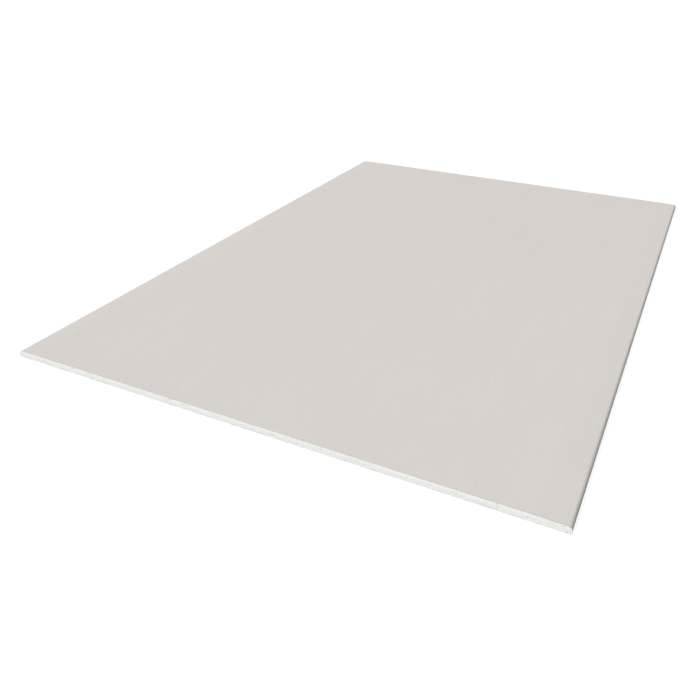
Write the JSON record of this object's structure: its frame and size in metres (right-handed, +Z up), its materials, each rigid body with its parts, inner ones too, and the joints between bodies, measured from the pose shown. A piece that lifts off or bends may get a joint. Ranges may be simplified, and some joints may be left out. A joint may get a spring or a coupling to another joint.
{
  "type": "drywall sheet",
  "caption": "Flat rectangular sheet of paper-faced gypsum board, with tapered, paper-wrapped long edges and square-cut ends that show the white core.",
  "frame": {"origin": "middle of the back, on the plane of the back paper that the sheet lies on", "axes": "+X across the sheet to one wrapped long edge, +Y along the sheet to one cut end, +Z up out of the face"},
  "size_m": [1.2192, 1.8288, 0.0159],
  "materials": {
    "gypsum": "matte",
    "face_paper": "matte",
    "back_paper": "matte"
  },
  "bodies": {
    "root": {"gypsum_core": "gypsum", "face_paper": "face_paper", "back_paper": "back_paper"}
  },
  "joints": []
}
